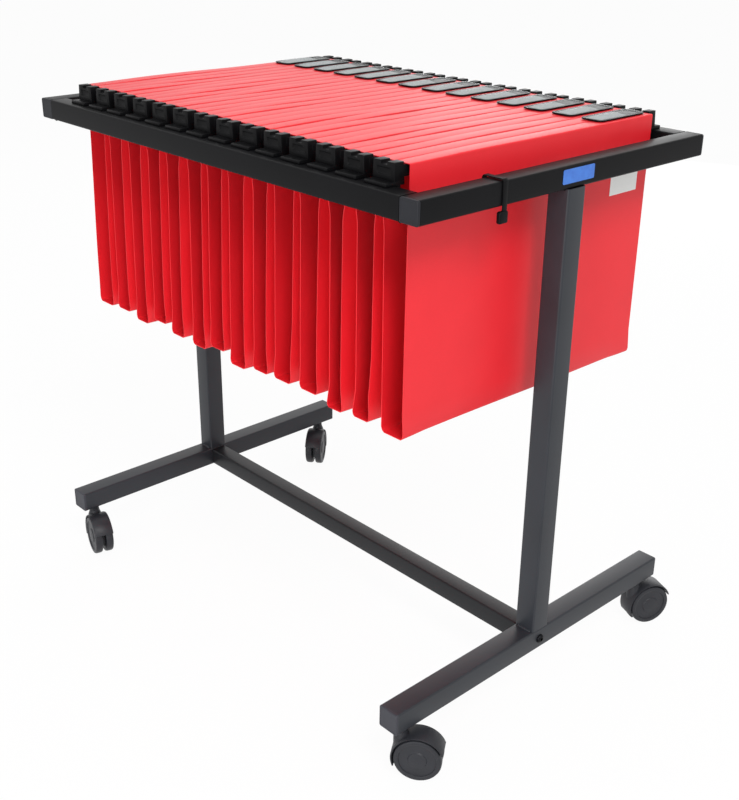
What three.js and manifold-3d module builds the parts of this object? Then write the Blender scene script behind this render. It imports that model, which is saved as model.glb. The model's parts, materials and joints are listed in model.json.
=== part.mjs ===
// Mobile file cart: a square-tube trolley on four twin-wheel castors, with suspension files hung across its rails.
// Millimetres, +Z up. X runs along the rails, -Y is the front, and the floor is z = 0 under the middle of the cart.
import * as THREE from "three";
import { mergeVertices } from "three/addons/utils/BufferGeometryUtils.js";
import Module from "manifold-3d";

const wasm = await Module();
wasm.setup();

// Fits
const FIT_GAP = 0.3; // between a pin, plug or clip and what it fits

// Frame of square tube
const FRAME_WIDTH = 615; // over the end bars, along X
const FRAME_DEPTH = 412; // over the rails, along Y
const FRAME_TOP = 596; // floor to the top of the end bars and rails
const TUBE = 22; // side of the end bars' and rails' square tube
const LEG_TUBE = 25; // side of the posts' and feet's square tube
const TUBE_WALL = 1.5;
const TUBE_ROUND = 2; // outer corner radius of every tube
const LEAST_ROUND = 0.2; // inner corner radius where the wall is thicker than the outer radius
const FOOT_LENGTH = 434; // over the foot caps, along Y
const STRETCHER_TUBE = 22; // side of the stretcher's square tube
const END_PLATE = 3; // plate that closes both ends of the stretcher and the top of a post
const VENT_RADIUS = 5; // hole that leads from each post into its end bar

// Tube ends
const CAP_FLANGE = 3; // thickness of a cap outside its tube
const CAP_LINE = 0.6; // width of the groove where a closed end meets its bar
const CAP_LINE_DEPTH = 0.5;
const PLUG_SETBACK = 3.5; // from a cap's plug to the castor socket behind it

// Bolts that hold the stretcher between the feet
const BOLT_RADIUS = 3;
const BOLT_HEAD_RADIUS = 5;
const BOLT_HEAD = 3.2; // height of the domed head
const BOLT_HEAD_EDGE = 1.1; // height of the head's straight edge
const BOLT_HEAD_FLAT = 3.5; // radius of the flat on top of the head
const BOLT_END = 6; // length past the stretcher's plate

// Clip that straddles the right end bar, with a knob at the end of its tail
const CLIP_WIDTH = 6; // along the bar
const CLIP_WALL = 2;
const CLIP_INNER_LEG = 12; // below the bar's top, inside
const CLIP_FROM_FRONT = 105; // front of the bar to the middle of the strap
const KNOB_DROP = 4; // from the bar's underside to the knob
const KNOB_HEIGHT = 11;
const KNOB_THICKNESS = 5;
const KNOB_LENGTH = 11; // along the bar
const KNOB_OFFSET = 1.5; // middle of the strap to the middle of the knob, towards the front

// Castors
const WHEEL_RADIUS = 25;
const WHEEL_WIDTH = 9.8;
const WHEEL_SHOULDER = 2; // bevel at both edges of the tread
const WHEEL_RIM = 4.5; // flat ring between the tread's bevel and the dished face
const WHEEL_DISH = 0.8; // depth of the dished face
const WHEEL_FACE = 3; // wall left outside the blind axle bore
const WHEEL_GAP = 0.5; // between a wheel and the web of the castor body
const WEB = 3.4; // thickness of the body between its two wheels
const WELL_GAP = 1.2; // between the tread and the hood
const HOOD_WALL = 1.8;
const HOOD_FROM = 25; // degrees from the trailing direction, up and over
const HOOD_TO = 200;
const AXLE_RADIUS = 3;
const AXLE_BOSS_WALL = 14; // of the web around the axle
const TRAIL = 18; // level distance from the swivel axis to the axle
const NECK_RADIUS = 6.5;
const NECK_HEIGHT = 9; // top of the hood to the underside of the foot
const STEM_RADIUS = 5;
const SOCKET_WALL = 2.2; // sleeve inside the foot that holds the stem
const SOCKET_HEIGHT = 12; // above the tube's bottom wall
const CASTOR_INSET = 20; // end of the foot to the swivel axis
const CASTOR_HEADINGS = { front_left: -15, front_right: 36, rear_left: -51, rear_right: 67 }; // degrees from +X

// Suspension files
const FILE_PITCH = 37.5;
const FILE_SHIFT = 3; // from the middle of the rails to the middle of the row of files, towards the clip
const FILE_GAP = 1.2; // between neighbouring files
const BAY_SPARE = 15; // least room between the last file and an end bar
const FILE_HEIGHT = 262;
const CARD_WALL = 1;
const CARD_LIP_GAP = 6; // from a card's end to the hook's lip beside it
const CARD_ROUND = 1.6; // bevel where a panel turns into its flap
const CARD_LEAN = 1; // how far each panel leans in from its top to the bottom fold
const CARD_FOLD = 5; // height of the bottom fold
const CARD_FOLD_WIDTH = 26; // of the flat between the bottom folds

// Hangers: two runners joined by a hooked end piece at each end
const RUNNER_THICKNESS = 2.5;
const RUNNER_HEIGHT = 10;
const RUNNER_SIDE_GAP = 3.6; // between a runner and its card panel
const RUNNER_LIFT = 3.2; // above the hook's plate
const HOOK_PLATE = 3.5; // thickness of the plate that rests on the rail
const HOOK_SETBACK = 9; // from the hook's plate to the rail's outer face
const HOOK_CLEARANCE = 0.5; // between the hook's lip and the rail
const LIP_THICKNESS = 4;
const LIP_DEPTH = 10; // below the top of the rail
const TOOTH_DEPTH = 12;
const TOOTH_GAP = 1.5; // from a card's end to the teeth
const TOOTH_RISE = 1.5; // above the top of the card
const TOOTH_NOTCH = 8; // between the two teeth of one end
const TOOTH_NOTCH_DEPTH = 3;
const JOIN = 0.5; // how far joined pieces of one moulding run into each other

// Label tabs on the hangers
const TAB_LENGTH = 75;
const TAB_WIDTH = 27;
const TAB_BASE = 1.2; // thickness at the edges
const TAB_CROWN = 4; // rise of the domed top over its edges
const TAB_LIFT = 0.8; // gap between the tab and the card under it
const TAB_REAR_INSET = 5; // rear end of the card to the tab
const TAB_STEM = 2; // thickness where the tab passes between the flaps
const TAB_STEM_GAP = 1; // from the stem to each flap
const TAB_STEM_LENGTH = 40;
const TAB_BRIDGE = 6; // side of the bar that carries the stem between the runners

// Flats around the round pieces
const WHEEL_SIDES = 24;
const PIN_SIDES = 12;
const CORNER_STEPS = 1; // two flats round each corner of a tube
const HOOD_STEPS = 6;
const DOME_STEPS = 4;

// Places worked out from the sizes above
const HOOD_RADIUS = WHEEL_RADIUS + WELL_GAP + HOOD_WALL;
const CASTOR_WIDTH = WEB + 2 * (WHEEL_GAP + WHEEL_WIDTH);
const FOOT_UNDERSIDE = WHEEL_RADIUS + HOOD_RADIUS + NECK_HEIGHT;
const FOOT_MIDDLE = FOOT_UNDERSIDE + LEG_TUBE / 2;
const FOOT_TOP = FOOT_UNDERSIDE + LEG_TUBE;
const BAR_MIDDLE = FRAME_TOP - TUBE / 2;
const END_X = FRAME_WIDTH / 2 - TUBE / 2; // middle of the end bars, posts and feet
const INNER_WIDTH = FRAME_WIDTH - 2 * TUBE;
const LEG_FACE = END_X + LEG_TUBE / 2; // outer face of the posts and feet
const STRETCHER_LENGTH = 2 * END_X - LEG_TUBE;
const RAIL_Y = FRAME_DEPTH / 2 - TUBE / 2;
const RAIL_INNER = FRAME_DEPTH / 2 - TUBE;
const POST_HEIGHT = FRAME_TOP - TUBE - FOOT_TOP;
const BORE_ROUND = Math.max(TUBE_ROUND - TUBE_WALL, LEAST_ROUND);
const SOCKET_RADIUS = STEM_RADIUS + FIT_GAP + SOCKET_WALL;
const PLUG_LENGTH = CASTOR_INSET - SOCKET_RADIUS - PLUG_SETBACK - CAP_FLANGE;
const CASTOR_Y = FOOT_LENGTH / 2 - CASTOR_INSET;
const RUNNER_TOP = FRAME_TOP + HOOK_PLATE + RUNNER_LIFT + RUNNER_HEIGHT;
const FILE_TOP = RUNNER_TOP + FIT_GAP + CARD_WALL;
const FILE_BOTTOM = FILE_TOP - FILE_HEIGHT;
const FILE_COUNT = Math.floor((INNER_WIDTH - 2 * (BAY_SPARE + FILE_SHIFT)) / FILE_PITCH);
const CARD_HALF = (FILE_PITCH - FILE_GAP) / 2;
const CARD_SLIT = TAB_STEM + 2 * TAB_STEM_GAP; // between the two flaps
const LIP_OUTER = RAIL_INNER - HOOK_CLEARANCE;
const LIP_INNER = LIP_OUTER - LIP_THICKNESS;
const CARD_END = LIP_INNER - CARD_LIP_GAP;
const RUNNER_OUTER = CARD_HALF - CARD_WALL - RUNNER_SIDE_GAP;
const HOOK_OUTER = FRAME_DEPTH / 2 - HOOK_SETBACK;
const TOOTH_INNER = CARD_END + TOOTH_GAP;
const TOOTH_Y = TOOTH_INNER + TOOTH_DEPTH / 2;

// Colours and finishes
const POWDER_COAT = { color: 0x2b2c2f, roughness: 0.5, metalness: 0.3 };
const CAP_PLASTIC = { color: 0x3a3b3e, roughness: 0.55, metalness: 0 };
const BOLT_STEEL = { color: 0x17181a, roughness: 0.4, metalness: 0.8 };
const CASTOR_NYLON = { color: 0x2e2f33, roughness: 0.5, metalness: 0 };
const AXLE_STEEL = { color: 0x8d9094, roughness: 0.35, metalness: 0.9 };
const HANGER_PLASTIC = { color: 0x17181a, roughness: 0.45, metalness: 0 };
const RED_CARD = { color: 0xd0202c, roughness: 0.6, metalness: 0 };

// A closed geometry as a solid that can be joined and cut.
function solid(geometry) {
  geometry.deleteAttribute("normal");
  geometry.deleteAttribute("uv");
  const merged = mergeVertices(geometry);
  const vertProperties = merged.attributes.position.array;
  const triVerts = new Uint32Array(merged.index.array);
  return new wasm.Manifold(new wasm.Mesh({ numProp: 3, vertProperties, triVerts }));
}

function join(pieces) {
  return pieces.reduce((whole, piece) => whole.add(piece));
}

// A box between two corners.
function block(low, high) {
  const [dx, dy, dz] = high.map((value, i) => value - low[i]);
  const box = new THREE.BoxGeometry(dx, dy, dz);
  return solid(box.translate(low[0] + dx / 2, low[1] + dy / 2, low[2] + dz / 2));
}

// A flat outline drawn in X and Z, made solid along Y about y = 0.
function alongY(shape, length, curveSegments = CORNER_STEPS) {
  const geometry = new THREE.ExtrudeGeometry(shape, { depth: length, bevelEnabled: false, curveSegments });
  return solid(geometry.translate(0, 0, -length / 2).rotateX(Math.PI / 2));
}

function outline(points) {
  return new THREE.Shape(points.map(([x, z]) => new THREE.Vector2(x, z)));
}

function roundedSquare(path, side, round) {
  const arm = side / 2 - round;
  const corners = [[arm, arm], [-arm, arm], [-arm, -arm], [arm, -arm]];
  corners.forEach(([x, y], i) => path.absarc(x, y, round, (i * Math.PI) / 2, ((i + 1) * Math.PI) / 2));
  return path;
}

// A solid square bar along Y.
function squareBar(side, round, length) {
  return alongY(roundedSquare(new THREE.Shape(), side, round), length);
}

// What is taken out of a square tube of this side, along Y.
function tubeBore(side, length) {
  return squareBar(side - 2 * TUBE_WALL, BORE_ROUND, length);
}

// An open square tube along Y, about the origin.
function squareTube(side, length) {
  return squareBar(side, TUBE_ROUND, length).subtract(tubeBore(side, length + side));
}

// A round pin along Z about the origin, with its corners on the radius.
function pin(radius, length, sides = PIN_SIDES) {
  return solid(new THREE.CylinderGeometry(radius, radius, length, sides).rotateX(Math.PI / 2));
}

// A round hole's tool, with its flats on the radius.
function hole(radius, length, sides = PIN_SIDES) {
  return pin(radius / Math.cos(Math.PI / sides), length, sides);
}

const turnToX = (body) => body.rotate([0, 0, 90]); // from along Y
const turnToZ = (body) => body.rotate([90, 0, 0]); // from along Y
const pinToX = (body) => body.rotate([0, 90, 0]); // from along Z
const pinToY = (body) => body.rotate([90, 0, 0]); // from along Z

// A closed bar: full tube with a capped look at both ends, and a vent down into the post.
function endBar() {
  const groovedLength = FRAME_DEPTH - 2 * CAP_FLANGE;
  const core = squareBar(TUBE - 2 * CAP_LINE_DEPTH, TUBE_ROUND, FRAME_DEPTH);
  const sleeve = squareBar(TUBE, TUBE_ROUND, groovedLength - 2 * CAP_LINE);
  const flange = squareBar(TUBE, TUBE_ROUND, CAP_FLANGE);
  const flangeY = FRAME_DEPTH / 2 - CAP_FLANGE / 2;
  const outside = join([core, sleeve, flange.translate([0, flangeY, 0]), flange.translate([0, -flangeY, 0])]);
  const vent = hole(VENT_RADIUS, TUBE).translate([0, 0, -TUBE / 2]);
  return outside.subtract(tubeBore(TUBE, groovedLength)).subtract(vent);
}

// A post along Z about the origin, open at its foot, with a drilled plate that closes its top.
function post() {
  const bore = tubeBore(LEG_TUBE, POST_HEIGHT).translate([0, -END_PLATE, 0]);
  const tube = turnToZ(squareBar(LEG_TUBE, TUBE_ROUND, POST_HEIGHT).subtract(bore));
  return tube.subtract(hole(VENT_RADIUS, 2 * POST_HEIGHT));
}

// An open tube with a stem socket near each end and a bolt hole across its middle.
function foot() {
  let body = squareTube(LEG_TUBE, FOOT_LENGTH - 2 * CAP_FLANGE);
  const floor = -LEG_TUBE / 2;
  for (const y of [-CASTOR_Y, CASTOR_Y]) {
    const height = TUBE_WALL / 2 + SOCKET_HEIGHT;
    const sleeve = pin(SOCKET_RADIUS, height).translate([0, y, floor + TUBE_WALL / 2 + height / 2]);
    const bore = hole(STEM_RADIUS + FIT_GAP, 2 * (TUBE_WALL + SOCKET_HEIGHT) + 2 * JOIN).translate([0, y, floor]);
    body = body.add(sleeve).subtract(bore);
  }
  return body.subtract(pinToX(hole(BOLT_RADIUS + FIT_GAP, 2 * LEG_TUBE)));
}

// A foot's end cap, with its flange outwards along +Y from y = 0.
function footCap() {
  const flange = squareBar(LEG_TUBE, TUBE_ROUND, CAP_FLANGE).translate([0, CAP_FLANGE / 2, 0]);
  const plug = tubeBore(LEG_TUBE - 2 * FIT_GAP, PLUG_LENGTH + JOIN);
  return flange.add(plug.translate([0, (JOIN - PLUG_LENGTH) / 2, 0]));
}

// The stretcher tube along X, closed at both ends by a drilled plate.
function stretcher() {
  const bore = tubeBore(STRETCHER_TUBE, STRETCHER_LENGTH - 2 * END_PLATE);
  const tube = squareBar(STRETCHER_TUBE, TUBE_ROUND, STRETCHER_LENGTH).subtract(bore);
  return turnToX(tube).subtract(pinToX(hole(BOLT_RADIUS + FIT_GAP, 2 * STRETCHER_LENGTH)));
}

// A bolt along +X with its head's seat at x = 0 and its shank running inwards to -X.
function bolt() {
  const shank = LEG_TUBE + END_PLATE + BOLT_END;
  const profile = [
    [0, -shank],
    [BOLT_RADIUS, -shank],
    [BOLT_RADIUS, 0],
    [BOLT_HEAD_RADIUS, 0],
    [BOLT_HEAD_RADIUS, BOLT_HEAD_EDGE],
    [BOLT_HEAD_FLAT, BOLT_HEAD],
    [0, BOLT_HEAD],
  ];
  const points = profile.map(([radius, along]) => new THREE.Vector2(radius, along));
  return solid(new THREE.LatheGeometry(points, PIN_SIDES).rotateZ(-Math.PI / 2));
}

// The clip about the middle of the bar: a strap over it, with its tail outside at +X, and the knob below.
function barClip() {
  const inside = TUBE / 2 + FIT_GAP;
  const outside = inside + CLIP_WALL;
  const innerFoot = TUBE / 2 - CLIP_INNER_LEG;
  const knobTop = -TUBE / 2 - KNOB_DROP;
  const knobFoot = knobTop - KNOB_HEIGHT;
  const section = outline([
    [-outside, innerFoot],
    [-inside, innerFoot],
    [-inside, inside],
    [inside, inside],
    [inside, knobFoot + JOIN],
    [outside, knobFoot + JOIN],
    [outside, outside],
    [-outside, outside],
  ]);
  const knobFront = -KNOB_OFFSET - KNOB_LENGTH / 2;
  const knobOutside = outside + JOIN;
  const low = [knobOutside - KNOB_THICKNESS, knobFront, knobFoot];
  const knob = block(low, [knobOutside, knobFront + KNOB_LENGTH, knobTop]);
  return alongY(section, CLIP_WIDTH).add(knob);
}

// The castor's hood, web, neck and stem in one moulding. The swivel axis is x = y = 0 and the floor z = 0.
function castorBody() {
  const from = THREE.MathUtils.degToRad(HOOD_FROM);
  const to = THREE.MathUtils.degToRad(HOOD_TO);
  const hoodShape = new THREE.Shape().absarc(TRAIL, WHEEL_RADIUS, HOOD_RADIUS, from, to);
  const hood = alongY(hoodShape, CASTOR_WIDTH, HOOD_STEPS);
  const neckTop = FOOT_UNDERSIDE - FIT_GAP;
  const neckFoot = WHEEL_RADIUS;
  const neck = pin(NECK_RADIUS, neckTop - neckFoot).translate([0, 0, (neckTop + neckFoot) / 2]);
  const stemTop = FOOT_UNDERSIDE + TUBE_WALL + SOCKET_HEIGHT;
  const stem = pin(STEM_RADIUS, stemTop - neckFoot).translate([0, 0, (stemTop + neckFoot) / 2]);
  let body = join([hood, neck, stem]);
  for (const side of [-1, 1]) {
    const well = pinToY(hole(WHEEL_RADIUS + WELL_GAP, CASTOR_WIDTH, WHEEL_SIDES));
    body = body.subtract(well.translate([TRAIL, (side * (WEB + CASTOR_WIDTH)) / 2, WHEEL_RADIUS]));
  }
  const boss = pinToY(pin(AXLE_RADIUS + AXLE_BOSS_WALL, WEB)).translate([TRAIL, 0, WHEEL_RADIUS]);
  const bore = pinToY(hole(AXLE_RADIUS + FIT_GAP, 2 * CASTOR_WIDTH)).translate([TRAIL, 0, WHEEL_RADIUS]);
  return body.add(boss).subtract(bore);
}

// A wheel about the Y axis, with its inner face at y = 0, standing on one of its flats.
function wheel() {
  const bore = (AXLE_RADIUS + FIT_GAP) / Math.cos(Math.PI / WHEEL_SIDES);
  const tread = WHEEL_RADIUS / Math.cos(Math.PI / WHEEL_SIDES);
  const face = WHEEL_WIDTH - WHEEL_DISH;
  const rim = tread - WHEEL_SHOULDER - WHEEL_RIM;
  const boreEnd = WHEEL_WIDTH - WHEEL_FACE;
  const profile = [
    [0, boreEnd],
    [bore, boreEnd],
    [bore, 0],
    [tread - WHEEL_SHOULDER, 0],
    [tread, WHEEL_SHOULDER],
    [tread, WHEEL_WIDTH - WHEEL_SHOULDER],
    [tread - WHEEL_SHOULDER, WHEEL_WIDTH],
    [rim, WHEEL_WIDTH],
    [rim - WHEEL_DISH, face],
    [0, face],
  ];
  const points = profile.map(([radius, along]) => new THREE.Vector2(radius, along));
  return solid(new THREE.LatheGeometry(points, WHEEL_SIDES, Math.PI / WHEEL_SIDES));
}

// One folded card: a flat bottom between two folds, two panels, and a flap over each runner.
function fileCard() {
  const half = [
    [CARD_SLIT / 2, FILE_TOP],
    [CARD_HALF - CARD_ROUND, FILE_TOP],
    [CARD_HALF, FILE_TOP - CARD_ROUND],
    [CARD_HALF - CARD_LEAN, FILE_BOTTOM + CARD_FOLD],
    [CARD_FOLD_WIDTH / 2, FILE_BOTTOM],
  ];
  const inner = [
    [CARD_SLIT / 2, FILE_TOP - CARD_WALL],
    [CARD_HALF - CARD_ROUND, FILE_TOP - CARD_WALL],
    [CARD_HALF - CARD_WALL, FILE_TOP - CARD_ROUND],
    [CARD_HALF - CARD_LEAN - CARD_WALL, FILE_BOTTOM + CARD_FOLD],
    [CARD_FOLD_WIDTH / 2 - CARD_WALL, FILE_BOTTOM + CARD_WALL],
  ];
  const mirrored = (points) => points.map(([x, z]) => [-x, z]);
  const around = [...half, ...mirrored(half).reverse(), ...mirrored(inner), ...inner.reverse()];
  return alongY(outline(around), 2 * CARD_END);
}

// The hooked piece at one end of a hanger: a plate on the rail, a lip inside it and a block notched into two teeth.
function hookEnd() {
  const plateTop = FRAME_TOP + HOOK_PLATE;
  const section = outline([
    [LIP_INNER, FRAME_TOP - LIP_DEPTH],
    [LIP_OUTER, FRAME_TOP - LIP_DEPTH],
    [LIP_OUTER, FRAME_TOP],
    [HOOK_OUTER, FRAME_TOP],
    [HOOK_OUTER, plateTop],
    [TOOTH_INNER, plateTop],
    [TOOTH_INNER, FRAME_TOP],
    [LIP_INNER, FRAME_TOP],
  ]);
  const seat = turnToX(alongY(section, 2 * RUNNER_OUTER));
  const outer = TOOTH_INNER + TOOTH_DEPTH;
  const top = FILE_TOP + TOOTH_RISE;
  const upright = block([-RUNNER_OUTER, TOOTH_INNER, plateTop - JOIN], [RUNNER_OUTER, outer, top]);
  const notch = block(
    [-TOOTH_NOTCH / 2, TOOTH_INNER - JOIN, top - TOOTH_NOTCH_DEPTH],
    [TOOTH_NOTCH / 2, outer + JOIN, top + JOIN],
  );
  return seat.add(upright.subtract(notch));
}

// The domed label tab, its stem between the flaps and the bar that carries it.
function labelTab() {
  const middle = CARD_END - TAB_REAR_INSET - TAB_LENGTH / 2;
  const underside = FILE_TOP + TAB_LIFT;
  const edge = TAB_WIDTH / 2;
  const dome = new THREE.Shape().moveTo(-edge, underside).lineTo(edge, underside);
  dome.lineTo(edge, underside + TAB_BASE);
  dome.quadraticCurveTo(0, underside + TAB_BASE + 2 * TAB_CROWN, -edge, underside + TAB_BASE);
  const tab = alongY(dome, TAB_LENGTH, DOME_STEPS);
  const bridgeFoot = RUNNER_TOP - RUNNER_HEIGHT;
  const stem = block(
    [-TAB_STEM / 2, -TAB_STEM_LENGTH / 2, bridgeFoot + JOIN],
    [TAB_STEM / 2, TAB_STEM_LENGTH / 2, underside + JOIN],
  );
  const reach = RUNNER_OUTER - RUNNER_THICKNESS + JOIN;
  const bridge = block([-reach, -TAB_BRIDGE / 2, bridgeFoot], [reach, TAB_BRIDGE / 2, bridgeFoot + TAB_BRIDGE]);
  return join([tab, stem, bridge]).translate([0, middle, 0]);
}

function fileHanger() {
  const low = [RUNNER_OUTER - RUNNER_THICKNESS, -TOOTH_Y, RUNNER_TOP - RUNNER_HEIGHT];
  const runner = block(low, [RUNNER_OUTER, TOOTH_Y, RUNNER_TOP]);
  const hook = hookEnd();
  return join([runner, runner.mirror([1, 0, 0]), hook, hook.mirror([0, 1, 0]), labelTab()]);
}

// A solid as a named mesh with a material of its own.
function named(name, body, look) {
  const { vertProperties, triVerts } = body.getMesh();
  const geometry = new THREE.BufferGeometry();
  geometry.setAttribute("position", new THREE.BufferAttribute(vertProperties, 3));
  geometry.setIndex(new THREE.BufferAttribute(triVerts, 1));
  geometry.computeVertexNormals();
  const mesh = new THREE.Mesh(geometry, new THREE.MeshStandardMaterial(look));
  mesh.name = name;
  return mesh;
}

const cart = new THREE.Group();

function place(name, body, look, position, parent = cart) {
  const mesh = named(name, body, look);
  mesh.position.set(...position);
  parent.add(mesh);
}

// Frame
const cap = footCap();
for (const [side, sign] of [["left", -1], ["right", 1]]) {
  place(`end_bar_${side}`, endBar(), POWDER_COAT, [sign * END_X, 0, BAR_MIDDLE]);
  place(`post_${side}`, post(), POWDER_COAT, [sign * END_X, 0, FOOT_TOP + POST_HEIGHT / 2]);
  place(`foot_${side}`, foot(), POWDER_COAT, [sign * END_X, 0, FOOT_MIDDLE]);
  const bolted = sign > 0 ? bolt() : bolt().mirror([1, 0, 0]);
  place(`stretcher_bolt_${side}`, bolted, BOLT_STEEL, [sign * LEG_FACE, 0, FOOT_MIDDLE]);
  for (const [end, way] of [["front", -1], ["rear", 1]]) {
    const turned = way > 0 ? cap : cap.mirror([0, 1, 0]);
    const seat = way * (FOOT_LENGTH / 2 - CAP_FLANGE);
    place(`foot_cap_${end}_${side}`, turned, CAP_PLASTIC, [sign * END_X, seat, FOOT_MIDDLE]);
  }
}
const rail = turnToX(squareTube(TUBE, INNER_WIDTH));
place("rail_front", rail, POWDER_COAT, [0, -RAIL_Y, BAR_MIDDLE]);
place("rail_rear", rail, POWDER_COAT, [0, RAIL_Y, BAR_MIDDLE]);
place("stretcher", stretcher(), POWDER_COAT, [0, 0, FOOT_MIDDLE]);
place("bar_clip", barClip(), HANGER_PLASTIC, [END_X, CLIP_FROM_FRONT - FRAME_DEPTH / 2, BAR_MIDDLE]);

// Castors, each turned about its stem
const moulding = castorBody();
const halfAxle = WEB / 2 + WHEEL_GAP + WHEEL_WIDTH - WHEEL_FACE - FIT_GAP;
const axle = pinToY(pin(AXLE_RADIUS, 2 * halfAxle));
const twin = wheel();
for (const [corner, heading] of Object.entries(CASTOR_HEADINGS)) {
  const castor = new THREE.Group();
  const x = corner.endsWith("right") ? END_X : -END_X;
  const y = corner.startsWith("rear") ? CASTOR_Y : -CASTOR_Y;
  castor.position.set(x, y, 0);
  castor.rotation.z = THREE.MathUtils.degToRad(heading);
  place(`castor_body_${corner}`, moulding, CASTOR_NYLON, [0, 0, 0], castor);
  place(`castor_axle_${corner}`, axle, AXLE_STEEL, [TRAIL, 0, WHEEL_RADIUS], castor);
  const inner = WEB / 2 + WHEEL_GAP;
  place(`castor_wheel_a_${corner}`, twin.mirror([0, 1, 0]), CASTOR_NYLON, [TRAIL, -inner, WHEEL_RADIUS], castor);
  place(`castor_wheel_b_${corner}`, twin, CASTOR_NYLON, [TRAIL, inner, WHEEL_RADIUS], castor);
  cart.add(castor);
}

// Files, from left to right
const card = fileCard();
const hanger = fileHanger();
for (let i = 0; i < FILE_COUNT; i++) {
  const number = String(i + 1).padStart(2, "0");
  const file = new THREE.Group();
  file.position.x = FILE_SHIFT + (i - (FILE_COUNT - 1) / 2) * FILE_PITCH;
  place(`file_card_${number}`, card, RED_CARD, [0, 0, 0], file);
  place(`file_hanger_${number}`, hanger, HANGER_PLASTIC, [0, 0, 0], file);
  cart.add(file);
}

export default cart;
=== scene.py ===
"""Mobile file cart: the finished look of the cart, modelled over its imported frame.

Metres, +Z up, -Y is the front.
"""

import json
import math
import random
from contextlib import contextmanager

import bmesh
import bpy
from mathutils import Matrix, Vector


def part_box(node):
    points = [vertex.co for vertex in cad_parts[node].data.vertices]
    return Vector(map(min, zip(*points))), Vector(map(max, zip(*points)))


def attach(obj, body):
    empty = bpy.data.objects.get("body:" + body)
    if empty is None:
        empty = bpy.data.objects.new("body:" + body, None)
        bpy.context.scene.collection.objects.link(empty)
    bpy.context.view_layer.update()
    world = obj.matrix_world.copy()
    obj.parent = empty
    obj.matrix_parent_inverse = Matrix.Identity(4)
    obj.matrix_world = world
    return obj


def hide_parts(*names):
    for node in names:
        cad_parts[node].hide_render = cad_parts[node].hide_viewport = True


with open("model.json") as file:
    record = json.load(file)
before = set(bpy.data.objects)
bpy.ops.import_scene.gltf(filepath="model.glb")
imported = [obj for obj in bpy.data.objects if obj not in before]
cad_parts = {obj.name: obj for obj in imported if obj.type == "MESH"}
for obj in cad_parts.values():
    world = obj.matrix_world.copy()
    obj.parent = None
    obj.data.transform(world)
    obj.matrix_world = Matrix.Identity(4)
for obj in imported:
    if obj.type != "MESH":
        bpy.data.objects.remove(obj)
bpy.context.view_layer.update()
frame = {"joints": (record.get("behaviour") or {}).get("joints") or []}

MM = 0.001
X, Y, Z = 0, 1, 2
SIDES = ("left", "right")
ENDS = ("front", "rear")
CORNERS = [f"{end}_{side}" for end in ENDS for side in SIDES]
FILES = [f"{number:02d}" for number in range(1, 15)]
ALONG = 0.9  # how nearly a direction lies along an axis to count as along it
SMOOTH_ANGLE = math.radians(32)
MERGE = 0.01 * MM  # points closer than this are one
HAIR = 0.1 * MM  # what lies closer than this is in the same place
NEAR = 1 * MM  # what lies closer than this to a card's edge is on it
PAST = 1 * MM  # how far a cutting tool reaches past what it cuts
JOIN = 0.5 * MM  # how far joined pieces of one moulding run into each other

# Steel frame
TUBE_ROUND = 2.2 * MM
TUBE_WALL = 1.5 * MM
TUBE_CORNER_STEPS = 4
PLUG_FLANGE = 3 * MM
PLUG_LINE = 0.5 * MM  # groove between a plug and its bar
PLUG_EDGE = 1 * MM  # how far the soft edge of a plug or cap runs in
PLUG_EDGE_STEPS = 4
PLUG_DISH = 0.3 * MM
PLUG_DISH_MARGIN = 1.6 * MM
PLUG_WALL_GAP = 0.3 * MM
PLUG_DEPTH = 6 * MM
STEM_HOLE = 5.5 * MM
WELD_RADIUS = 1.5 * MM
WELD_LENGTH = 17 * MM
WELD_RIPPLES = 8
WELD_RIPPLE = 1.14  # width of a ripple's crest over its valley
WELD_END = 0.5  # width of a bead's ends over its middle

# Bolts
BOLT_HEAD = 5 * MM
BOLT_HEAD_HEIGHT = 3.2 * MM
BOLT_DOME = 2.4 * MM
BOLT_DOME_STEPS = 5
BOLT_SHANK = 3 * MM
BOLT_SOCKET = 2.3 * MM
BOLT_SOCKET_DEPTH = 1.8 * MM

# Clip on the right end bar
CLIP_WALL = 1.3 * MM
CLIP_GAP = 0.3 * MM  # from the bar's outer face
CLIP_CORNER = 1.6 * MM
CLIP_INNER_LEG = 12 * MM
CLIP_FLARE = 1 * MM  # of the inner leg's foot
CLIP_FLARE_HEIGHT = 2 * MM
CLIP_EDGE = 0.5 * MM
STRAP_WIDTH = 6 * MM
STRAP_MIDDLE = -101 * MM
KNOB_HEIGHT = 11 * MM
KNOB_THICKNESS = 5 * MM
KNOB_ROUND = 1.6 * MM
KNOB_ROUND_STEPS = 4
KNOB_GRIPS = 3
GRIP_RADIUS = 0.6 * MM
GRIP_OUT = 0.2 * MM  # from the knob's face to the middle of a groove

# Castors
HOOD_WALL = 1.8 * MM
HOOD_EDGE = 0.7 * MM
HOOD_SHOULDER = 1.6 * MM  # across the outer edges
HOOD_FROM = math.radians(22)
HOOD_TO = math.radians(202)
HOOD_STEPS = 40
WEB = 3.4 * MM
WEB_RADIUS = 27 * MM
BOSS_RADIUS = 17 * MM
NECK_RADIUS = 6 * MM
NECK_SWELL = 2.5 * MM
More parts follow.
